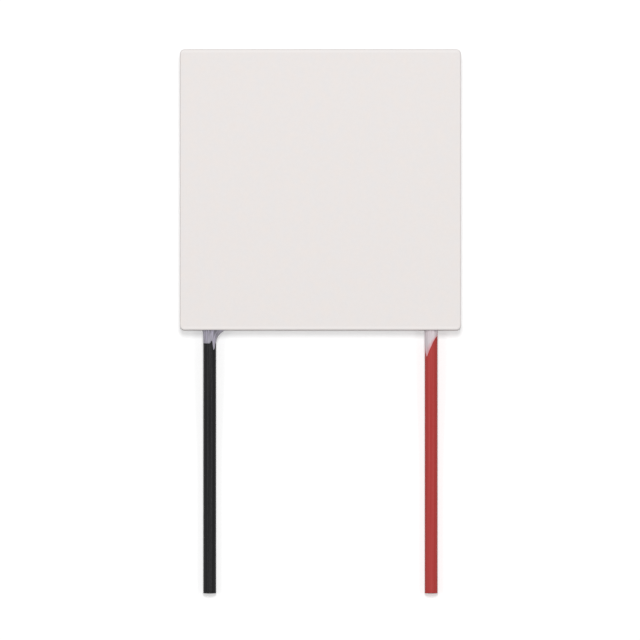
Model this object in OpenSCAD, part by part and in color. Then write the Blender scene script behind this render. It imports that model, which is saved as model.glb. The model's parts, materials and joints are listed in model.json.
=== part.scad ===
// Thermoelectric cooling module.
// Two square alumina plates hold a flat serpentine of bismuth telluride pellets. Copper tabs on
// the inner faces of the plates join the pellets in series, n-type and p-type in turn. A bead of
// silicone closes the gap all round the edge, and two short leads feed the ends of the series.
//
// Millimetres, +Z up. The origin is the centre of the hot plate's outer face. The cold plate is
// on top, and the leads leave towards -Y, the red one at +X and the black one at -X.

/* [Plates] */
// Width of each ceramic plate, across the two leads
plate_w = 40; // [34:0.5:50]
// Length of each ceramic plate, from the lead side to the far side
plate_l = 40; // [36:0.5:50]
// Thickness of each ceramic plate
plate_t = 0.7; // [0.5:0.05:1.2]
// Radius of the corners of the plates
corner_r = 0.7; // [0.5:0.1:2]
// Bevel along the edges of the plates
edge_bevel = 0.15; // [0.05:0.05:0.2]

/* [Pellets] */
// Hairpins of the serpentine side by side, each one column up and one column down
hairpins = 8; // [2:1:8]
// Pairs of pellets along each column
row_pairs = 8; // [2:1:8]
// Side of each square pellet
pellet_w = 1.4; // [0.8:0.1:1.5]
// Height of each pellet
pellet_h = 1.2; // [1:0.1:2.6]

/* [Tabs and solder] */
// Thickness of the copper tabs
tab_t = 0.3; // [0.2:0.02:0.34]
// How far a tab reaches past its pellets on each side
tab_overhang = 0.1; // [0.05:0.01:0.15]
// Thickness of the solder coat between tab and pellet
solder_t = 0.05; // [0.03:0.01:0.1]
// Bare copper left round the solder coat
solder_edge = 0.03; // [0.01:0.01:0.04]
// Bare ceramic between the outer tabs and the edge of the plate
side_margin = 1.5; // [1.4:0.1:2.5]
// Bare ceramic between the first row of tabs and the edge on the lead side
lead_margin = 3; // [2.6:0.1:4]

/* [Edge seal] */
// How far the lips of the silicone lie inside the edge of the plates
seal_recess = 0.15; // [0.05:0.05:0.25]
// Depth of the silicone from its lips inwards
seal_depth = 1.1; // [0.8:0.05:1.15]
// How far the face of the silicone is hollowed between its lips
seal_dip = 0.25; // [0.1:0.05:0.3]
// Thickness of the film of silicone left on the leads
film_t = 0.08; // [0.05:0.01:0.12]

/* [Leads] */
// Outside diameter of each lead
lead_d = 1.85; // [1.5:0.05:2.2]
// Diameter of the stranded core
core_d = 1; // [0.6:0.05:1.1]
// Distance from the side of the plates to the axis of each lead
lead_inset = 4.25; // [3.5:0.25:8]
// Radius of the solder fillets along both sides of the core
joint_fillet = 0.5; // [0.3:0.05:0.6]

/* [Hidden] */

// Facets on a true circle, and the sides of the plain tubes that stand for the leads
$fn = 48;
tube_sides = 8;
// Running over the end of a cut
past = 1;

// Clearances: between copper and silicone, between the lead pad and the tabs behind it, between
// the end of the core and the end of its pad, and between the solder joint and the pad's sides
seal_clear = 0.1;
pad_clear = 0.3;
core_stop = 0.15;
joint_rim = 0.1;
// Flat lip that the silicone keeps against each plate, and the edge of the solder fillets
seal_lip = 0.05;
joint_lip = 0.04;

// How far the silicone runs down each lead on the side away from the other lead and on the side
// towards it, and the fillet that it makes between the black lead and the plates
red_film = [0.7, 3.7];
black_film = [1.85, 1.85];
black_fillet = [1.15, 1.7];

// Route of each lead: the distance out from the plates, and the share of the way down from the
// middle of the module's edge to the surface that it lies on
lead_route = [
    [0, 0], [2, 0], [4, 0], [6, 0.03], [8, 0.12], [10, 0.27], [12, 0.45], [14, 0.63],
    [16, 0.79], [18, 0.9], [21, 0.98], [25, 1], [29, 1], [33, 1], [37.4, 1]
];

// Levels, from the hot plate's outer face up
gap = pellet_h + 2*solder_t + 2*tab_t;
hot_tab_z = plate_t;
hot_solder_z = hot_tab_z + tab_t;
pellet_z = hot_solder_z + solder_t;
cold_solder_z = pellet_z + pellet_h;
cold_tab_z = cold_solder_z + solder_t;
cold_plate_z = plate_t + gap;
module_h = cold_plate_z + plate_t;
exit_z = module_h/2;

// Pellet grid: columns across the plate, rows from the lead side to the far side
columns = 2*hairpins;
rows = 2*row_pairs;
tab_w = pellet_w + 2*tab_overhang;
pitch_x = (plate_w - 2*side_margin - tab_w)/(columns - 1);
pitch_y = (plate_l - side_margin - lead_margin - tab_w)/(rows - 1);
lead_edge = -plate_l/2;
first_row_y = lead_edge + lead_margin + tab_w/2;
function col_x(col) = (col - (columns + 1)/2)*pitch_x;
function row_y(row) = first_row_y + (row - 1)*pitch_y;

// The two corner places on the lead side hold no pellet, because the leads' pads start there
function is_corner(col, row) = row == 1 && (col == 1 || col == columns);

// Links of one hairpin, each as the two pellet places [column, row, column, row] that it covers.
// The cold side joins rows 2 and 3, 4 and 5 and so on, turns over at the last row, and crosses to
// the next hairpin at the first row. The hot side joins rows 1 and 2, 3 and 4 and so on.
function cold_links(k) = concat(
    [for (col = [2*k - 1, 2*k]) for (pair = [1:row_pairs - 1]) [col, 2*pair, col, 2*pair + 1]],
    [[2*k - 1, rows, 2*k, rows]],
    k < hairpins ? [[2*k, 1, 2*k + 1, 1]] : []
);
function hot_links(k) = [
    for (col = [2*k - 1, 2*k]) for (pair = [1:row_pairs])
        if (!is_corner(col, 2*pair - 1)) [col, 2*pair - 1, col, 2*pair]
];

// Leads and their pads, worked out for the red lead at +X
lead_x = plate_w/2 - lead_inset;
pad_front = lead_edge + seal_recess + seal_depth + seal_clear;
pad_back = lead_edge + lead_margin - pad_clear;
core_end = pad_back - core_stop;
joint_w = core_d + 2*joint_fillet;

// ---- Shapes ----

// Rounded rectangle w by l with corner radius r, whose rim follows the section given as child.
// The child is drawn from the axis out to $half, with its height along Y.
module rimmed_slab(w, l, r) {
    for (side = [0, 1]) {
        mirror([side, 0, 0]) rotate([90, 0, 0])
            linear_extrude(l - 2*r, center = true) let ($half = w/2) children();
        mirror([0, side, 0]) rotate([90, 0, 90])
            linear_extrude(w - 2*r, center = true) let ($half = l/2) children();
    }
    for (x = [r - w/2, w/2 - r], y = [r - l/2, l/2 - r])
        translate([x, y, 0]) rotate_extrude() let ($half = r) children();
}

// Half section of a plate with both edges bevelled
module plate_section() {
    polygon([
        [0, 0], [$half - edge_bevel, 0], [$half, edge_bevel],
        [$half, plate_t - edge_bevel], [$half - edge_bevel, plate_t], [0, plate_t]
    ]);
}

module plate() {
    rimmed_slab(plate_w, plate_l, corner_r) plate_section();
}

// Half section of the silicone: as high as the gap, hollowed by an arc between its two lips
module seal_section() {
    half_arc = gap/2 - seal_lip;
    arc_r = (pow(half_arc, 2) + pow(seal_dip, 2))/(2*seal_dip);
    difference() {
        square([$half, gap]);
        translate([$half + arc_r - seal_dip, gap/2]) circle(arc_r, $fn = 96);
    }
}

// The silicone without its inner pocket
module seal_block() {
    translate([0, 0, plate_t])
        rimmed_slab(plate_w - 2*seal_recess, plate_l - 2*seal_recess, corner_r - seal_recess)
            seal_section();
}

// Block that covers two neighbouring pellet places, with an overhang all round
module link_block(link, z, t, overhang) {
    reach = pellet_w/2 + overhang;
    x = col_x(link[0]) - reach;
    y = row_y(link[1]) - reach;
    size_x = col_x(link[2]) + reach - x;
    size_y = row_y(link[3]) + reach - y;
    translate([x, y, z]) cube([size_x, size_y, t]);
}

module link_blocks(links, z, t, overhang) {
    for (link = links) link_block(link, z, t, overhang);
}

// Pellets of one hairpin whose column and row add up to an even or an odd number
module pellets(k, odd) {
    for (col = [2*k - 1, 2*k], row = [1:rows])
        if (!is_corner(col, row) && (col + row)%2 == odd)
            translate([col_x(col) - pellet_w/2, row_y(row) - pellet_w/2, pellet_z])
                cube([pellet_w, pellet_w, pellet_h]);
}

// Turns what is drawn up along Z to point out along the red lead, from its exit
module from_exit() {
    translate([lead_x, lead_edge, exit_z]) rotate([90, 0, 0]) children();
}

// L-shaped copper pad: a leg under the end pellet and a foot along the edge to the lead
module lead_pad() {
    leg_x = col_x(columns) - tab_w/2;
    foot_x = lead_x - joint_w/2 - joint_rim;
    translate([leg_x, pad_front, hot_tab_z])
        cube([tab_w, row_y(2) + tab_w/2 - pad_front, tab_t]);
    translate([foot_x, pad_front, hot_tab_z])
        cube([leg_x + tab_w - foot_x, pad_back - pad_front, tab_t]);
}

// Solder that carries the core on its pad, with a hollow fillet up each side of the core
module core_joint() {
    joint_l = pad_back - pad_front - 2*joint_rim;
    drop = exit_z - hot_solder_z;
    fillet_y = joint_lip + joint_fillet - drop;
    translate([lead_x, pad_back - joint_rim, exit_z]) rotate([90, 0, 0])
        linear_extrude(joint_l) difference() {
            translate([-joint_w/2, -drop]) square([joint_w, joint_lip + joint_fillet]);
            for (side = [-1, 1]) translate([side*joint_w/2, fillet_y]) circle(joint_fillet);
            rotate(180/tube_sides) circle(core_d/2, $fn = tube_sides);
        }
}

// Silicone on a lead: a plug in the mouth of the gap, a thin film wiped down the lead and cut off
// on a slant, and, where fillet is given, a hollow fillet towards the other lead. film holds its
// length on the outer and on the inner side, fillet its width and its length.
module lead_film(film, fillet = [0, 0]) {
    lead_r = lead_d/2;
    film_r = lead_r + film_t;
    inner_reach = max(film_r, lead_r + fillet[0]);
    plug_depth = seal_recess + seal_dip;
    difference() {
        union() {
            translate([lead_x - inner_reach, lead_edge, plate_t])
                cube([inner_reach + film_r, plug_depth, gap]);
            intersection() {
                from_exit() cylinder(r = film_r, h = max(film) + past);
                translate([lead_x, lead_edge, 0]) linear_extrude(module_h)
                    film_outline(film, film_r);
            }
            if (fillet[0] > 0) side_fillet(fillet);
        }
        from_exit() cylinder(r = lead_r, h = max(film) + past);
        from_exit() translate([0, 0, -plug_depth - past])
            cylinder(r = core_d/2, h = plug_depth + 2*past);
        seal_block();
    }
}

// Plan of the film, a little wider than the film itself. Its slanted end crosses the two sides of
// the film, film_r from the axis, at the two lengths in film.
module film_outline(film, film_r) {
    wide = film_r + film_t;
    middle = (film[0] + film[1])/2;
    slant = (film[0] - film[1])/(2*film_r);
    polygon([[-wide, 0], [wide, 0], [wide, -middle - slant*wide], [-wide, slant*wide - middle]]);
}

// The fillet of lead_film: a ring with a hollow flank that ends as thick as the film, kept on the
// inner side of the lead and between the bevels of the two plates
module side_fillet(fillet) {
    rim_r = lead_d/2 + fillet[0];
    flank_r = (pow(fillet[0], 2) + pow(fillet[1] - film_t, 2))/(2*fillet[0]);
    intersection() {
        from_exit() rotate_extrude() difference() {
            square([rim_r, fillet[1]]);
            translate([lead_d/2 + flank_r, fillet[1]]) circle(flank_r, $fn = 96);
        }
        translate([lead_x - rim_r - past, lead_edge - fillet[1] - past, edge_bevel])
            cube([rim_r + past, fillet[1] + 2*past, module_h - 2*edge_bevel]);
    }
}

// ---- Leads: plain tubes swept along the route ----

function route_path(route) = [
    for (p = route) [0, lead_edge - p[0], exit_z - p[1]*(exit_z - lead_d/2)]
];
function heading(path, i) =
    let (step = path[min(i + 1, len(path) - 1)] - path[max(i - 1, 0)]) step/norm(step);
function ring(path, i, r) =
    let (up = cross(heading(path, i), [1, 0, 0]))
    [for (s = [0:tube_sides - 1])
        let (turn = (s + 0.5)*360/tube_sides) path[i] + r*(cos(turn)*[1, 0, 0] + sin(turn)*up)];
function rings(path, r) = [for (i = [0:len(path) - 1]) each ring(path, i, r)];

// Wall between each ring and the next, from the point numbered first, facing out or into a bore
function wall_faces(count, first, into_bore) = [
    for (i = [0:count - 2]) for (s = [0:tube_sides - 1])
        let (
            a = first + i*tube_sides + s,
            b = first + i*tube_sides + (s + 1)%tube_sides,
            c = b + tube_sides,
            d = a + tube_sides
        )
        each (into_bore ? [[a, c, d], [a, b, c]] : [[a, d, c], [a, c, b]])
];

module swept_rod(route, r) {
    path = route_path(route);
    last = (len(path) - 1)*tube_sides;
    polyhedron(
        rings(path, r),
        concat(
            [[for (s = [0:tube_sides - 1]) s]],
            [[for (s = [tube_sides - 1:-1:0]) last + s]],
            wall_faces(len(path), 0, false)
        )
    );
}

module swept_tube(route, r, bore_r) {
    path = route_path(route);
    last = (len(path) - 1)*tube_sides;
    inner = len(path)*tube_sides;
    polyhedron(
        concat(rings(path, r), rings(path, bore_r)),
        concat(
            wall_faces(len(path), 0, false),
            wall_faces(len(path), inner, true),
            [for (s = [0:tube_sides - 1])
                let (next = (s + 1)%tube_sides) [s, next, inner + next, inner + s]],
            [for (s = [0:tube_sides - 1])
                let (next = (s + 1)%tube_sides)
                [last + s, inner + last + s, inner + last + next, last + next]]
        )
    );
}

module core() {
    inside = [[lead_edge - core_end, 0]];
    translate([lead_x, 0, 0]) swept_rod(concat(inside, lead_route), core_d/2);
}

module insulation() {
    translate([lead_x, 0, 0]) swept_tube(lead_route, lead_d/2, core_d/2);
}

// ---- Pieces ----

module hot_plate() {
    color("#ece8e6") plate();
}

module cold_plate() {
    color("#ece8e6") translate([0, 0, cold_plate_z]) plate();
}

// Ring of silicone, hollow round the pellets, with a hole for the core of each lead
module edge_seal() {
    inner = seal_recess + seal_depth;
    color("#dcd9dc") difference() {
        seal_block();
        translate([inner - plate_w/2, inner - plate_l/2, plate_t - past])
            cube([plate_w - 2*inner, plate_l - 2*inner, gap + 2*past]);
        for (side = [0, 1]) mirror([side, 0, 0])
            from_exit() translate([0, 0, -inner - past]) cylinder(r = core_d/2, h = inner + 2*past);
    }
}

module n_pellets(k) {
    color("#5b5e68") pellets(k, 0);
}

module p_pellets(k) {
    color("#44464e") pellets(k, 1);
}

module cold_tabs(k) {
    color("#b8734a") link_blocks(cold_links(k), cold_tab_z, tab_t, tab_overhang);
}

module hot_tabs(k) {
    color("#b8734a") link_blocks(hot_links(k), hot_tab_z, tab_t, tab_overhang);
}

module cold_solder() {
    color("#b9bcc0") for (k = [1:hairpins])
        link_blocks(cold_links(k), cold_solder_z, solder_t, tab_overhang - solder_edge);
}

// The coat on the hot tabs, and one square each under the first and the last pellet
module hot_solder() {
    end_places = [for (col = [1, columns]) [col, 2, col, 2]];
    color("#b9bcc0") {
        for (k = [1:hairpins])
            link_blocks(hot_links(k), hot_solder_z, solder_t, tab_overhang - solder_edge);
        link_blocks(end_places, hot_solder_z, solder_t, tab_overhang - solder_edge);
    }
}

module red_terminal_tab() {
    color("#b8734a") lead_pad();
}

module black_terminal_tab() {
    color("#b8734a") mirror([1, 0, 0]) lead_pad();
}

module red_lead_solder() {
    color("#b9bcc0") core_joint();
}

module black_lead_solder() {
    color("#b9bcc0") mirror([1, 0, 0]) core_joint();
}

module red_lead_core() {
    color("#c9c4bc") core();
}

module black_lead_core() {
    color("#c9c4bc") mirror([1, 0, 0]) core();
}

module red_lead_insulation() {
    color("#ab453d") insulation();
}

module black_lead_insulation() {
    color("#28282a") mirror([1, 0, 0]) insulation();
}

module red_lead_seal() {
    color("#dccdd2") lead_film(red_film);
}

module black_lead_seal() {
    color("#a7a4ad") mirror([1, 0, 0]) lead_film(black_film, black_fillet);
}

hot_plate();
cold_plate();
edge_seal();
hot_solder();
cold_solder();
red_terminal_tab();
red_lead_solder();
red_lead_core();
red_lead_insulation();
red_lead_seal();
black_terminal_tab();
black_lead_solder();
black_lead_core();
black_lead_insulation();
black_lead_seal();
for (k = [1:hairpins]) {
    n_pellets(k);
    p_pellets(k);
    hot_tabs(k);
    cold_tabs(k);
}
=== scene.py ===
"""Looks of a flat square thermoelectric cooling module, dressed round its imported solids.

Lengths are in metres and in the part's own frame: the hot plate's outer face lies on z = 0, and
the leads leave towards -Y, the red one at +X and the black one at -X.
"""
import json

import bpy
import numpy as np
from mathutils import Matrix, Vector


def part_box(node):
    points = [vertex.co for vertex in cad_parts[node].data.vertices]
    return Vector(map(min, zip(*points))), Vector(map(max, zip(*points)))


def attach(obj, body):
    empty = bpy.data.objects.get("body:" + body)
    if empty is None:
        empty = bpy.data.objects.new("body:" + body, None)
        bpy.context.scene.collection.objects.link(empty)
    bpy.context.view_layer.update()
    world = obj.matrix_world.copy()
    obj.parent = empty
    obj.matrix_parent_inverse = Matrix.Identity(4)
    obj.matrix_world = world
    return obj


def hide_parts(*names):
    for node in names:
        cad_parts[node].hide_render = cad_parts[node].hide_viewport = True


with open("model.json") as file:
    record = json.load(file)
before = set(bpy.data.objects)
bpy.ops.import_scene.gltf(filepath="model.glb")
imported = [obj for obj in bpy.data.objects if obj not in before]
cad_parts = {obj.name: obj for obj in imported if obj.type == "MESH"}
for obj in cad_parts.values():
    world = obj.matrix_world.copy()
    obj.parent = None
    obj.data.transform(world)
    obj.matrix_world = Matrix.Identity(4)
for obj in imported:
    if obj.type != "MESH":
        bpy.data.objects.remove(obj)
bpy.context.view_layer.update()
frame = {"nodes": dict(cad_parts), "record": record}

MM = 0.001
TURN = 2 * np.pi

# Sizes that the solids have too
CORNER_R = 0.7 * MM
EDGE_BEVEL = 0.15 * MM
SEAL_DEPTH = 1.1 * MM
SEAL_DIP = 0.25 * MM
FILM_T = 0.08 * MM
LEAD_R = 0.925 * MM
CORE_R = 0.5 * MM
LEAD_X = 15.75 * MM
LEAD_L = 37.4 * MM
PITCH_X = 2.36 * MM
PITCH_Y = 2.26 * MM
LAST_ROW_Y = 17.7 * MM

# Sizes and values of the looks alone
EDGE_SPREAD = 1.25 * EDGE_BEVEL
SCRIBE_PITCH = 0.42 * MM
SCRIBE_DEPTH = 0.015 * MM
WIRE_R = 0.097 * MM
WIRE_LAY = 13 * MM
LINE_DEPTH = 0.004 * MM
EXIT_STEP = 0.003 * MM
SILICONE_IOR = 1.41

# What the camera sees: width, point above which it stands, its distance, and its lean in degrees
VIEW_WIDTH = 91.04 * MM
VIEW_X, VIEW_Y = -0.06 * MM, -18.44 * MM
VIEW_AWAY = 300 * MM
VIEW_LEAN = 2.4

# Each lead's way down: distance from the plates in mm, and share of the drop to the surface
ROUTE = np.array([
    [0, 0], [2, 0], [4, 0], [6, 0.03], [8, 0.12], [10, 0.27], [12, 0.45], [14, 0.63],
    [16, 0.79], [18, 0.9], [21, 0.98], [25, 1], [29, 1], [33, 1], [37.4, 1],
])

hot_low, hot_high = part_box("hot_plate")
cold_low, cold_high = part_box("cold_plate")
EDGE = cold_high[0]
GAP_LOW = hot_high[2]
GAP_HIGH = cold_low[2]
EXIT_Z = (GAP_LOW + GAP_HIGH) / 2


# ---------------------------------------------------------------- camera, light and floor

def overhead_camera():
    """A camera with parallel lines of sight, above the module and its leads, and leaning a little
    towards the leads, so that the front edge just shows."""
    lens = bpy.data.cameras.new("overhead")
    lens.type = "ORTHO"
    lens.ortho_scale = VIEW_WIDTH
    lens.clip_start = 1 * MM
    lean = np.radians(VIEW_LEAN)
    camera = bpy.data.objects.new("overhead", lens)
    camera.rotation_euler = (lean, 0, 0)
    camera.location = (VIEW_X, VIEW_Y - VIEW_AWAY * np.sin(lean), VIEW_AWAY * np.cos(lean))
    bpy.context.scene.collection.objects.link(camera)
    bpy.context.scene.camera = camera


def softbox(name, place, width, height, level):
    """A soft rectangular lamp that faces the plates. level is the share of full white that it
    gives a white face turned to it."""
    place = np.array(place)
    away = np.linalg.norm(place)
    lamp = bpy.data.lights.new(name, "AREA")
    lamp.shape = "RECTANGLE"
    lamp.size = width
    lamp.size_y = height
    lamp.energy = level * np.pi ** 2 * away ** 2
    box = bpy.data.objects.new(name, lamp)
    box.location = place
    tilt = np.arctan2(np.hypot(place[0], place[1]), place[2])
    box.rotation_euler = (0, tilt, np.arctan2(place[1], place[0]))
    box.visible_camera = False
    bpy.context.scene.collection.objects.link(box)


# ---------------------------------------------------------------- shared mesh work

def skin(name, rings, ends, values=None):
    """Mesh through closed rings of points, in an array of (ring, place on ring, xyz), or of that
    for each of many parts. Each ring is joined to the next by four-sided faces. The ends are
    "joined", last ring to first, or "capped", each by a fan round the middle of its ring. All
    faces are turned round together if the volume that they close comes out negative."""
    rings = rings.reshape((-1,) + rings.shape[-3:])
    parts, rows, cols = rings.shape[:3]
    corner = np.arange(parts * rows * cols).reshape(parts, rows, cols)
    lower, upper = corner, np.roll(corner, -1, axis=1)
    if ends == "capped":
        lower, upper = corner[:, :-1], corner[:, 1:]
    quads = np.stack([lower, np.roll(lower, -1, 2), np.roll(upper, -1, 2), upper], -1)
    quads = quads.reshape(-1, 4)
    fans = np.zeros((0, 3), int)
    if ends == "capped":
        pole = corner.size + np.arange(2 * parts).reshape(2, parts, 1) + 0 * corner[:, 0]
        first, last = corner[:, 0], corner[:, -1]
        fans = np.concatenate([
            np.stack([np.roll(first, -1, 1), first, pole[0]], -1).reshape(-1, 3),
            np.stack([last, np.roll(last, -1, 1), pole[1]], -1).reshape(-1, 3),
        ])

    def with_poles(field):
        """One row for each point, and then, for capped ends, the means of the end rings."""
        flat = field.reshape(corner.size, -1)
        if ends == "joined":
            return flat
        field = field.reshape(parts, rows, cols, -1)
        return np.concatenate([flat, field[:, 0].mean(1), field[:, -1].mean(1)])

    points = with_poles(rings)
    triangles = np.concatenate([quads[:, [0, 1, 2]], quads[:, [0, 2, 3]], fans])
    a, b, c = points[triangles].transpose(1, 0, 2)
    if (a * np.cross(b, c)).sum() < 0:
        quads, fans = quads[:, ::-1], fans[:, ::-1]
    mesh = bpy.data.meshes.new(name)
    mesh.from_pydata(points.tolist(), [], quads.tolist() + fans.tolist())
    mesh.shade_smooth()
    mesh.set_sharp_from_angle(angle=np.radians(40))
    for label, field in (values or {}).items():
        kind = "FLOAT_VECTOR" if field.shape[-1] == 3 else "FLOAT"
        store = mesh.attributes.new(label, kind, "POINT").data
        store.foreach_set("vector" if kind == "FLOAT_VECTOR" else "value",
                          with_poles(field).ravel())
    piece = bpy.data.objects.new(name, mesh)
    bpy.context.scene.collection.objects.link(piece)
    return piece


def ripple(turn, slowest, fastest, seed):
    """Smooth random wave from -1 to 1 that closes on itself after a full turn: a sum of sines
    with whole numbers of waves, each with a seeded phase and height, the slow ones highest."""
    chance = np.random.default_rng(seed)
    count = np.arange(slowest, fastest + 1)
    phase = chance.uniform(0, TURN, count.size)
    height = chance.normal(size=count.size) / np.sqrt(count)
    wave = (height * np.sin(count * np.asarray(turn)[..., None] + phase)).sum(-1)
    return wave / np.abs(wave).max()


def rounded_square(half, radius, side_steps, corner_steps):
    """Closed outline with its outward directions. A quarter of it is the straight +X side and
    then a quarter circle round the corner, and the rest is that quarter turned by 90, 180 and
    270 degrees."""
    flat = half - radius
    along = np.linspace(-flat, flat, side_steps, endpoint=False)
    bend = np.linspace(0, np.pi / 2, corner_steps, endpoint=False)
    round_part = np.stack([np.cos(bend), np.sin(bend)], -1)
    side_part = np.stack([np.ones(side_steps), np.zeros(side_steps)], -1)
    quarter = np.concatenate([
        np.stack([np.full(side_steps, half), along], -1), flat + radius * round_part])
    outward = np.concatenate([side_part, round_part])
    quarter_turn = np.array([[0, -1], [1, 0]])
    turns = np.stack([np.linalg.matrix_power(quarter_turn, k) for k in range(4)])
    return [np.einsum("kij,nj->kni", turns, part).reshape(-1, 2) for part in (quarter, outward)]


def walked(outline):
    """Distance walked round a closed outline to each of its points, and the whole way round."""
    step = np.linalg.norm(np.roll(outline, -1, 0) - outline, axis=1)
    return np.concatenate([[0], np.cumsum(step)[:-1]]), step.sum()


def at_heights(plan, z):
    """Rings of points from their plan and from one height for each ring."""
    return np.concatenate([plan, np.broadcast_to(z[:, None, None], plan.shape[:2] + (1,))], -1)


def lead_centre(side, distance):
    """Height and place of a lead's centre line. Between two points of ROUTE the drop is the cubic
    that meets both with their mean slopes; before the first one the line is level."""
    at, share = ROUTE.T
    slope = np.gradient(share, at)
    way = np.clip(np.asarray(distance) / MM, 0, at[-1])
    k = np.clip(np.searchsorted(at, way, side="right") - 1, 0, len(at) - 2)
    span = at[k + 1] - at[k]
    t = (way - at[k]) / span
    drop = ((1 + 2 * t) * (1 - t) ** 2 * share[k] + t * (1 - t) ** 2 * span * slope[k]
            + t ** 2 * (3 - 2 * t) * share[k + 1] - t ** 2 * (1 - t) * span * slope[k + 1])
    x = np.full(drop.shape, side * LEAD_X)
    return np.stack([x, -EDGE - distance, EXIT_Z - drop * (EXIT_Z - LEAD_R)], -1)


def round_lead(side, distance, angle, radius):
    """Points round a lead's centre line: radius times the cosine of the angle along X, and times
    its sine along the line's upward normal, which leans with the line's slope."""
    distance, angle, radius = np.broadcast_arrays(distance, angle, radius)
    step = 0.2 * MM
    ahead = lead_centre(side, distance + step) - lead_centre(side, distance - step)
    lean = ahead[..., 2] / -ahead[..., 1]
    size = np.hypot(1, lean)
    out = radius * np.sin(angle)
    offset = np.stack([radius * np.cos(angle), out * lean / size, out / size], -1)
    return lead_centre(side, distance) + offset


# ---------------------------------------------------------------- pieces of the module

def ceramic_plate(name, low, high):
    """Pressed and fired plate, snapped from a larger one along scribed lines. Its section is
    carried round a rounded square: the underside, a quarter-oval edge, the side, a quarter-oval
    edge and the top. Each flat is closed by shrinking its last ring to a pole. The side is let in
    by short grooves, a cosine to the sixth power along the side, which fade out at both faces
    with the root of a half sine."""
    outline, outward = rounded_square(high[0], CORNER_R, 560, 10)
    way, whole = walked(outline)
    thick = high[2] - low[2]
    pitch = whole / round(whole / SCRIBE_PITCH)
    uneven = 0.75 + 0.25 * ripple(TURN * way / whole, 9, 60, 3)
    groove = np.cos(np.pi * way / pitch) ** 6 * uneven
    bend = np.linspace(0, np.pi / 2, 5)
    inset = EDGE_SPREAD * (1 - np.sin(bend))
    rise = EDGE_BEVEL * (1 - np.cos(bend))
    side_rise = np.linspace(EDGE_BEVEL, thick - EDGE_BEVEL, 6)[1:-1]
    rises = np.concatenate([rise, side_rise, thick - rise[::-1]])
    insets = np.concatenate([inset, 0 * side_rise, inset[::-1]])
    depth = SCRIBE_DEPTH * np.sqrt(np.sin(np.pi * np.clip(rises / thick, 0, 1)))
    let_in = insets[:, None] + depth[:, None] * groove
    section = outline - outward * let_in[..., None]
    shrink = np.array([0.25, 0.6, 0.9, 0.9985])[:, None, None]
    plan = np.concatenate([section[0] * shrink, section, section[-1] * shrink[::-1]])
    z = np.concatenate([np.full(4, low[2]), low[2] + rises, np.full(4, high[2])])
    return skin(name, at_heights(plan, z), "capped")


def edge_silicone(name, low, high):
    """Bead that closes the gap. Its section is carried round a rounded square: a face that is
    hollow by a parabola of its height, deeper and shallower along the way by a seeded ripple, and
    a plain wall inside. On the lead side the hollow fills up near each lead by a bell curve."""
    outline, outward = rounded_square(high[0], CORNER_R - (EDGE - high[0]), 220, 8)
    way, whole = walked(outline)
    turn = TURN * way / whole
    up = np.linspace(-1, 1, 13)
    off_side = np.abs(outline[:, 1] + high[1])
    from_lead = np.abs(np.abs(outline[:, 0]) - LEAD_X) + 40 * off_side
    filled = np.exp(-(from_lead / (1.6 * MM)) ** 2)
    hollow = SEAL_DIP * (0.8 + 0.28 * ripple(turn, 3, 40, 5)) * (1 - 0.8 * filled)
    bow = 1 - up ** 2
    wander = 1 + 0.25 * ripple(turn, 5, 30, 6) * up[:, None]
    face = np.clip(hollow * bow[:, None] * wander, 0, None)
    wall = np.full((7, len(outline)), SEAL_DEPTH)
    let_in = np.concatenate([face, wall])
    share = np.concatenate([up, np.linspace(1, -1, 7)])
    z = (low[2] + high[2]) / 2 + share * (high[2] - low[2]) / 2
    return skin(name, at_heights(outline - outward * let_in[..., None], z), "joined")


def insulation(name, side, seed):
    """Extruded sleeve round a lead. Its section is carried once round the lead: down the outside,
    round the cut edge, in across the end and back up the bore. Fine lines along it let the
    outside in by a seeded ripple of the angle."""
    angle = np.linspace(0, TURN, 72, endpoint=False)
    edge = 0.07 * MM
    bend = np.linspace(0, np.pi / 2, 5)
    far = LEAD_L - edge
    distance = np.concatenate([
        np.linspace(0, far, 88), far + edge * np.sin(bend[1:]), [LEAD_L, LEAD_L],
        np.linspace(LEAD_L - 0.03 * MM, 0, 24)])
    radius = np.concatenate([
        np.full(88, LEAD_R), LEAD_R - edge * (1 - np.cos(bend[1:])),
        [0.5 * (LEAD_R + CORE_R), CORE_R + 0.03 * MM], np.full(24, CORE_R)])
    lines = LINE_DEPTH * (1 + ripple(angle, 4, 30, seed))
    outside = (radius > CORE_R + 0.1 * MM)[:, None]
    rings = round_lead(side, distance[:, None], angle, radius[:, None] - lines * outside)
    place = np.stack(np.broadcast_arrays(
        radius[:, None] * np.cos(angle), radius[:, None] * np.sin(angle), distance[:, None]), -1)
    return skin(name, rings, "joined", {"place": place})


def strands(name, side, seed):
    """Nineteen tinned wires: one in the middle, six and then twelve round it, each a small tube
    whose centre goes round the lead's own line once in every lay length. They are cut off almost
    level."""
    chance = np.random.default_rng(seed)
    layer = np.concatenate([[0], np.full(6, 0.2), np.full(12, 0.4)]) * MM
    start = np.concatenate([[0], np.arange(6) / 6, (np.arange(12) + 0.5) / 12]) * TURN
    cut = LEAD_L - chance.uniform(0.02, 0.07, 19) * MM
    share = np.linspace(0, 1, 110)
    inner = -2.5 * MM
    distance = inner + share * (cut[:, None] - inner)
    about = start[:, None] + TURN * distance / WIRE_LAY
    round_wire = np.linspace(0, TURN, 8, endpoint=False)
    across = layer[:, None, None] * np.cos(about)[..., None] + WIRE_R * np.cos(round_wire)
    above = layer[:, None, None] * np.sin(about)[..., None] + WIRE_R * np.sin(round_wire)
    rings = round_lead(side, distance[..., None], np.arctan2(above, across),
                       np.hypot(above, across))
    return skin(name, rings, "capped")


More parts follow.
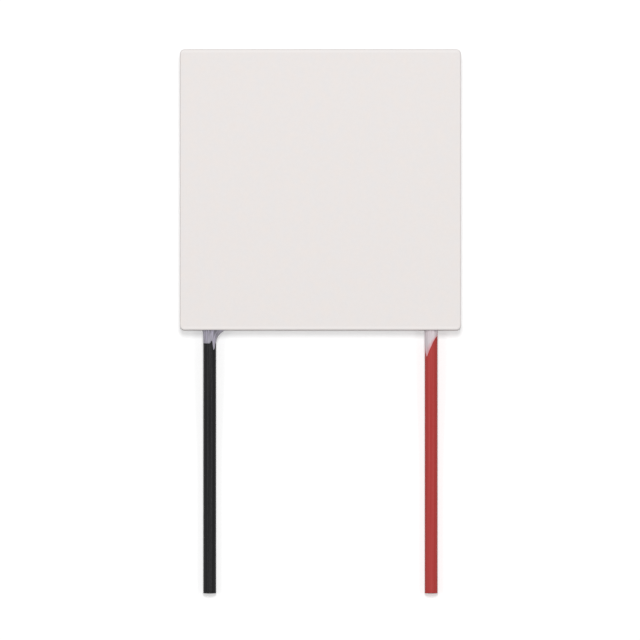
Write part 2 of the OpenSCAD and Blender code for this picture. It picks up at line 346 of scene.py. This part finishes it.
def dab(name, side, reach, flare, collar, seed):
    """Silicone left on a lead where it leaves the gap. Its section is carried round the lead:
    down the outside to a length that depends on the angle, over a thin rounded edge, and back
    along the insulation and the core. reach gives that length at some angles, in degrees and
    millimetres, and is eased between them. flare is how far the silicone spreads towards +X at
    the plates, and the length over which that web dies out by a power of the distance. collar is
    the same for all other directions, and dies out sooner."""
    angle = np.linspace(0, TURN, 160, endpoint=False)
    at, far = np.array(reach).T
    length = np.interp(np.degrees(angle), at, far * MM, period=360)
    ease = np.exp(-np.linspace(-2, 2, 7) ** 2)
    length = np.convolve(np.concatenate([length[-3:], length, length[:3]]), ease / ease.sum(),
                         "valid")
    start = -0.33 * MM
    share = np.sin(np.linspace(0, np.pi / 2, 30)) ** 1.2
    inside = np.array([start, -0.16 * MM, -EXIT_STEP])[:, None] + 0 * angle
    outside = EXIT_STEP + share[:, None] * (length - EXIT_STEP)
    distance = np.concatenate([inside, outside])
    done = np.clip(distance / length, 0, 1)
    streaks = 1 + 0.3 * ripple(angle, 5, 28, seed)
    thin = FILM_T * (0.35 + 0.55 * np.abs(np.sin(angle))) * streaks
    rounded = np.sqrt(1 - np.clip((done - 0.92) / 0.08, 0, 1) ** 2)
    towards = np.clip(np.cos(angle), 0, 1) ** 1.6
    web = flare[0] * np.clip(1 - distance / flare[1], 0, 1) ** 2.2 * towards
    skirt = web + collar * np.clip(1 - distance / (0.6 * MM), 0, 1) ** 2
    radius = LEAD_R + thin * rounded + skirt
    ceiling = (GAP_HIGH - GAP_LOW) / 2 / np.maximum(np.abs(np.sin(angle)), 1e-6)
    outer = np.where(distance < 0, np.minimum(radius, ceiling), radius)
    back_way = np.array([1, 0.6, 0.3, 0])[:, None] * length
    back = np.concatenate([back_way, np.array([0, start])[:, None] + 0 * angle])
    under = np.concatenate([np.full(4, LEAD_R - 0.012 * MM), np.full(2, CORE_R + 0.01 * MM)])
    distance = np.concatenate([distance, back])
    radius = np.concatenate([outer, under[:, None] + 0 * angle])
    rings = round_lead(side, distance, angle, radius)
    place = np.stack(np.broadcast_arrays(
        LEAD_R * np.cos(angle), LEAD_R * np.sin(angle), distance), -1)
    return skin(name, rings, "joined", {"place": place, "done": (distance / length)[..., None]})


# ---------------------------------------------------------------- shader nodes

def linear(colour):
    """Linear colour of an sRGB hex value."""
    parts = np.array([int(colour[i:i + 2], 16) for i in (1, 3, 5)]) / 255
    low, high = parts / 12.92, ((parts + 0.055) / 1.055) ** 2.4
    return (*np.where(parts <= 0.04045, low, high).tolist(), 1)


def add(tree, kind, inputs=None, **settings):
    """Adds a node, sets its settings, and links or sets its inputs."""
    made = tree.nodes.new("ShaderNode" + kind)
    for name, value in settings.items():
        setattr(made, name, value)
    for name, value in (inputs or {}).items():
        if isinstance(value, bpy.types.NodeSocket):
            tree.links.new(value, made.inputs[name])
        else:
            made.inputs[name].default_value = value
    return made


def blank(name):
    """A material with an empty node tree."""
    material = bpy.data.materials.new(name)
    material.use_nodes = True
    material.node_tree.nodes.clear()
    return material, material.node_tree


def close(tree, shader):
    """Sends a shader to the material's output."""
    add(tree, "OutputMaterial", {"Surface": shader.outputs[0]})


def principled(material, inputs):
    """Closes a material with one Principled shader, and gives it back."""
    tree = material.node_tree
    close(tree, add(tree, "BsdfPrincipled", inputs))
    return material


def place_in_part(tree):
    """Place in the part's own frame, in metres."""
    return add(tree, "TexCoord").outputs["Object"]


def stored(tree, label, output):
    """What a mesh keeps at its points under a label."""
    return add(tree, "Attribute", attribute_name=label).outputs[output]


def drawn_out(tree, place, share):
    """Place of which Z counts by a small share, so that a pattern on it is drawn out along Z."""
    return add(tree, "Mapping", {"Vector": place, "Scale": (1, 1, share)}).outputs[0]


def noise(tree, place, size, detail, **inputs):
    """Cloudy noise from 0 to 1, in patches of about the size given."""
    inputs = {"Vector": place, "Scale": 1 / size, "Detail": detail, **inputs}
    return add(tree, "TexNoise", inputs).outputs["Fac"]


def maths(tree, operation, *values):
    """Result of one sum on one, two or three values."""
    return add(tree, "Math", dict(enumerate(values)), operation=operation).outputs[0]


def spread(tree, value, low, high, to_low=0.0, to_high=1.0, **settings):
    """Takes a value from the range low to high over to the range to_low to to_high, and keeps
    it within that."""
    inputs = {"Value": value, "From Min": low, "From Max": high,
              "To Min": to_low, "To Max": to_high}
    return add(tree, "MapRange", inputs, **settings).outputs[0]


def blend(tree, share, first, second, **settings):
    """Colour that goes from the first to the second while share goes from 0 to 1."""
    inputs = {0: share, 6: first, 7: second}
    return add(tree, "Mix", inputs, data_type="RGBA", **settings).outputs[2]


def relief(tree, height, strength, depth):
    """Normal of a surface that a pattern of heights from 0 to 1 raises by up to depth."""
    inputs = {"Height": height, "Strength": strength, "Distance": depth}
    return add(tree, "Bump", inputs).outputs[0]


# ---------------------------------------------------------------- materials

def as_fired_alumina():
    """96% alumina, tape cast and fired: off-white and satin, with a faint cloudy warm and cool
    tint from the binder's burn-out and a fine grain. A paler strip along the two edges at +Y
    and -Y is a painted highlight, for the light that those rounded edges catch."""
    material, tree = blank("as_fired_alumina")
    place = place_in_part(tree)
    cloud = noise(tree, place, 1.6 * MM, 2.0)
    grain = noise(tree, place, 0.45 * MM, 3.0)
    tint = blend(tree, cloud, linear("#EBE2DD"), linear("#E5E2E2"))
    shade = spread(tree, grain, 0.3, 0.7, 0.985, 1.0)
    toned = blend(tree, 1.0, tint, shade, blend_type="MULTIPLY")
    far = maths(tree, "ABSOLUTE", add(tree, "SeparateXYZ", {0: place}).outputs["Y"])
    # Painted highlight: the plate is drawn paler within about half a millimetre of its +Y and -Y
    # edges.
    painted_edge_highlight = spread(tree, far, EDGE - 0.6 * MM, EDGE - 0.4 * MM, 0.0, 0.35)
    return principled(material, {
        "Base Color": blend(tree, painted_edge_highlight, toned, linear("#F4F0EE")), "Roughness": 0.5,
        "IOR": 1.76, "Normal": relief(tree, grain, 0.15, 0.01 * MM)})


def cut_telluride(name, light, dark):
    """Bismuth telluride, sawn from a zone-melted ingot: a dark grey semi-metal with upright
    cleavage streaks, each pellet a little lighter or darker than the next."""
    material, tree = blank(name)
    place = place_in_part(tree)
    cell = add(tree, "VectorMath", {0: place, 1: (PITCH_X, PITCH_Y, 1)}, operation="SNAP")
    tone = add(tree, "TexWhiteNoise", {"Vector": cell.outputs[0]}).outputs["Value"]
    streak = noise(tree, drawn_out(tree, place, 0.12), 0.09 * MM, 4.0, Roughness=0.65)
    lighter = maths(tree, "MULTIPLY_ADD", tone, 0.4, streak)
    return principled(material, {
        "Base Color": blend(tree, lighter, linear(dark), linear(light)), "Metallic": 0.85,
        "Roughness": spread(tree, streak, 0.0, 1.0, 0.28, 0.5),
        "Normal": relief(tree, streak, 0.4, 0.01 * MM)})


def tarnished_metal(name, bright, dull, patch, rough_low, rough_high):
    """Rolled or flowed metal after reflow: bright in places and dulled by flux and heat in
    patches, which are also rougher."""
    material, tree = blank(name)
    place = place_in_part(tree)
    dulled = spread(tree, noise(tree, place, patch, 4.0), 0.35, 0.65)
    fine = noise(tree, place, patch / 6, 2.0)
    return principled(material, {
        "Base Color": blend(tree, dulled, linear(bright), linear(dull)), "Metallic": 1.0,
        "Roughness": spread(tree, dulled, 0.0, 1.0, rough_low, rough_high),
        "Normal": relief(tree, fine, 0.3, 0.01 * MM)})


def milky_silicone():
    """Room-temperature-cured silicone, pushed into the gap: milky and slightly see-through, with
    cloudy swirls and a soft gloss. What little shows through is drawn in its colour: the end
    pellets as soft darker bars at their pitch, and the tabs as a warm line along each plate."""
    material, tree = blank("milky_silicone")
    place = place_in_part(tree)
    x, y, z = add(tree, "SeparateXYZ", {0: place}).outputs
    wave_x, wave_y = (
        maths(tree, "COSINE",
              maths(tree, "MULTIPLY_ADD", along, TURN / pitch, -TURN * middle / pitch))
        for along, pitch, middle in ((x, PITCH_X, PITCH_X / 2), (y, PITCH_Y, LAST_ROW_Y)))
    above = maths(tree, "SUBTRACT", z, EXIT_Z)
    far_x, far_y, far_z = (maths(tree, "ABSOLUTE", far) for far in (x, y, above))
    at_end = maths(tree, "GREATER_THAN", far_y, far_x)
    wave = add(tree, "Mix", {0: at_end, 2: wave_y, 3: wave_x}, data_type="FLOAT").outputs[0]
    soft = {"interpolation_type": "SMOOTHSTEP"}
    bars = spread(tree, wave, -0.5, 0.5, 0.0, 0.3, **soft)
    lines = spread(tree, far_z, 0.55 * MM, 0.75 * MM, 0.0, 0.3, **soft)
    swirl = noise(tree, place, 1.8 * MM, 3.0, Distortion=0.8)
    milk = blend(tree, swirl, linear("#E2DFE1"), linear("#F6F4F4"))
    barred = blend(tree, bars, milk, linear("#8E8C93"))
    return principled(material, {
        "Base Color": blend(tree, lines, barred, linear("#C79F86")), "Roughness": 0.32,
        "IOR": SILICONE_IOR, "Alpha": 0.8, "Normal": relief(tree, swirl, 0.35, 0.12 * MM)})


def wiped_silicone(name, pale, deep, end, alpha):
    """The same silicone wiped thin along a lead: the colour below shows through it, in streaks
    along the lead, and most at its end, where it is thinnest."""
    material, tree = blank(name)
    place = stored(tree, "place", "Vector")
    done = stored(tree, "done", "Fac")
    streak = noise(tree, drawn_out(tree, place, 0.1), 0.22 * MM, 2.0, Distortion=0.3)
    body = blend(tree, spread(tree, streak, 0.35, 0.65), linear(deep), linear(pale))
    near_end = spread(tree, done, 0.6, 0.98, 0.0, 0.8)
    return principled(material, {
        "Base Color": blend(tree, near_end, body, linear(end)), "Roughness": 0.34,
        "IOR": SILICONE_IOR, "Alpha": alpha, "Normal": relief(tree, streak, 0.4, 0.03 * MM)})


def extruded_pvc(name, body, worn):
    """Plasticised PVC, extruded over the strands: a satin skin with little sheen, fine lines
    along the lead and a slight change of tone from line to line."""
    material, tree = blank(name)
    place = stored(tree, "place", "Vector")
    line = noise(tree, drawn_out(tree, place, 0.01), 0.3 * MM, 3.0, Roughness=0.6)
    mottle = noise(tree, place, 0.9 * MM, 2.0)
    tone = spread(tree, line, 0.3, 0.7)
    return principled(material, {
        "Base Color": blend(tree, tone, linear(body), linear(worn)),
        "Roughness": spread(tree, mottle, 0.0, 1.0, 0.2, 0.32), "IOR": 1.53,
        "Specular IOR Level": 0.07, "Normal": relief(tree, line, 0.3, 0.02 * MM)})


def seen_directly(tree):
    """1 on rays from the camera and on mirrored and refracted ones, and 0 on those that light."""
    path = add(tree, "LightPath").outputs
    mirrored = maths(tree, "MAXIMUM", path["Is Camera Ray"], path["Is Glossy Ray"])
    return maths(tree, "MAXIMUM", mirrored, path["Is Transmission Ray"])


def white_table():
    """Matt white surface. What it scatters keeps the shadows, and a plain glow on direct sight
    lifts its open parts to white."""
    scattered, glowing = ((level, level, level, 1) for level in (0.78, 0.4))
    material, tree = blank("white_table")
    matt = add(tree, "BsdfDiffuse", {"Color": scattered})
    glow = add(tree, "Emission", {"Color": glowing, "Strength": seen_directly(tree)})
    close(tree, add(tree, "AddShader", {0: matt.outputs[0], 1: glow.outputs[0]}))
    material.cycles.emission_sampling = "NONE"
    return material


def white_surroundings():
    """Soft light from all round, in front of which the background is white."""
    world = bpy.data.worlds.new("white_surroundings")
    world.use_nodes = True
    tree = world.node_tree
    tree.nodes.clear()
    fill, white = (
        add(tree, "Background", {"Color": (1, 1, 1, 1), "Strength": level}).outputs[0]
        for level in (0.28, 1.0))
    shown = add(tree, "MixShader", {0: seen_directly(tree), 1: fill, 2: white})
    add(tree, "OutputWorld", {"Surface": shown.outputs[0]})
    bpy.context.scene.world = world


# ---------------------------------------------------------------- the scene

overhead_camera()

red_sleeve = insulation("red_insulation", 1, 11)
black_sleeve = insulation("black_insulation", -1, 12)
red_wires = strands("red_strands", 1, 21)
black_wires = strands("black_strands", -1, 22)
red_dab = dab(
    "red_dab", 1,
    [[0, 0.58], [50, 1.09], [75, 1.74], [89, 2.3], [107, 2.9], [124, 3.56], [133, 3.8],
     [150, 3.1], [167, 2.2], [180, 1.95], [225, 1.6], [270, 1.2], [315, 0.8]],
    (0, 1 * MM), 0.03 * MM, 31)
black_dab = dab(
    "black_dab", -1,
    [[0, 1.65], [35, 1.85], [43, 2.6], [52, 2.85], [59, 2.6], [66, 1.6], [76, 1.45],
     [83, 1.8], [95, 1.9], [150, 1.85], [180, 1.7], [225, 1.9], [270, 1.6], [315, 1.8]],
    (1.15 * MM, 1.7 * MM), 0.1 * MM, 32)
cold_ceramic = ceramic_plate("cold_ceramic", cold_low, cold_high)
hot_ceramic = ceramic_plate("hot_ceramic", hot_low, hot_high)
bead = edge_silicone("edge_silicone", *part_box("edge_seal"))

finishes = {
    "alumina": as_fired_alumina(),
    "n_telluride": cut_telluride("n_type_bismuth_telluride", "#7A7D86", "#43464E"),
    "p_telluride": cut_telluride("p_type_bismuth_telluride", "#666973", "#34363D"),
    "copper": tarnished_metal("plated_copper_tab", "#C98A63", "#A9683F", 1.4 * MM, 0.28, 0.45),
    "solder": tarnished_metal("reflowed_solder", "#C9CCD1", "#9C9FA5", 0.8 * MM, 0.2, 0.4),
    "tinned_copper": tarnished_metal("tinned_copper_wire", "#D2CFC8", "#B39C86", 0.6 * MM,
                                     0.22, 0.4),
    "silicone": milky_silicone(),
    "red_silicone_film": wiped_silicone("wiped_silicone_on_red", "#F4ECF1", "#E2D5DA",
                                        "#F0A2AA", 0.86),
    "black_silicone_film": wiped_silicone("wiped_silicone_on_black", "#C9C4D6", "#807D86",
                                          "#A9A6B1", 0.92),
    "red_pvc": extruded_pvc("red_pvc", "#B43B38", "#C04A47"),
    "black_pvc": extruded_pvc("black_pvc", "#1A1A1B", "#2C2C2E"),
}

for piece, slot, node in (
        (cold_ceramic, "alumina", "cold_plate"),
        (hot_ceramic, "alumina", "hot_plate"),
        (bead, "silicone", "edge_seal"),
        (red_sleeve, "red_pvc", "red_lead_insulation"),
        (black_sleeve, "black_pvc", "black_lead_insulation"),
        (red_wires, "tinned_copper", "red_lead_core"),
        (black_wires, "tinned_copper", "black_lead_core"),
        (red_dab, "red_silicone_film", "red_lead_seal"),
        (black_dab, "black_silicone_film", "black_lead_seal")):
    piece.data.materials.append(finishes[slot])
    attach(piece, "root")
    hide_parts(node)

for part in frame["record"]["subparts"]:
    for holder in frame["nodes"][part["node"]].material_slots:
        holder.material = finishes[part["material_slot"]]

table_mesh = bpy.data.meshes.new("table")
table_mesh.from_pydata([(-1, -1, 0), (1, -1, 0), (1, 1, 0), (-1, 1, 0)], [], [(0, 1, 2, 3)])
table = bpy.data.objects.new("table", table_mesh)
table.data.materials.append(white_table())
bpy.context.scene.collection.objects.link(table)

white_surroundings()
softbox("back_box", (0, 0.22, 0.97), 0.24, 0.22, 0.46)
softbox("right_box", (0.55, -0.05, 0.83), 0.12, 0.2, 0.085)
softbox("left_box", (-0.55, -0.05, 0.83), 0.12, 0.2, 0.085)

bpy.context.scene.view_settings.view_transform = "Standard"
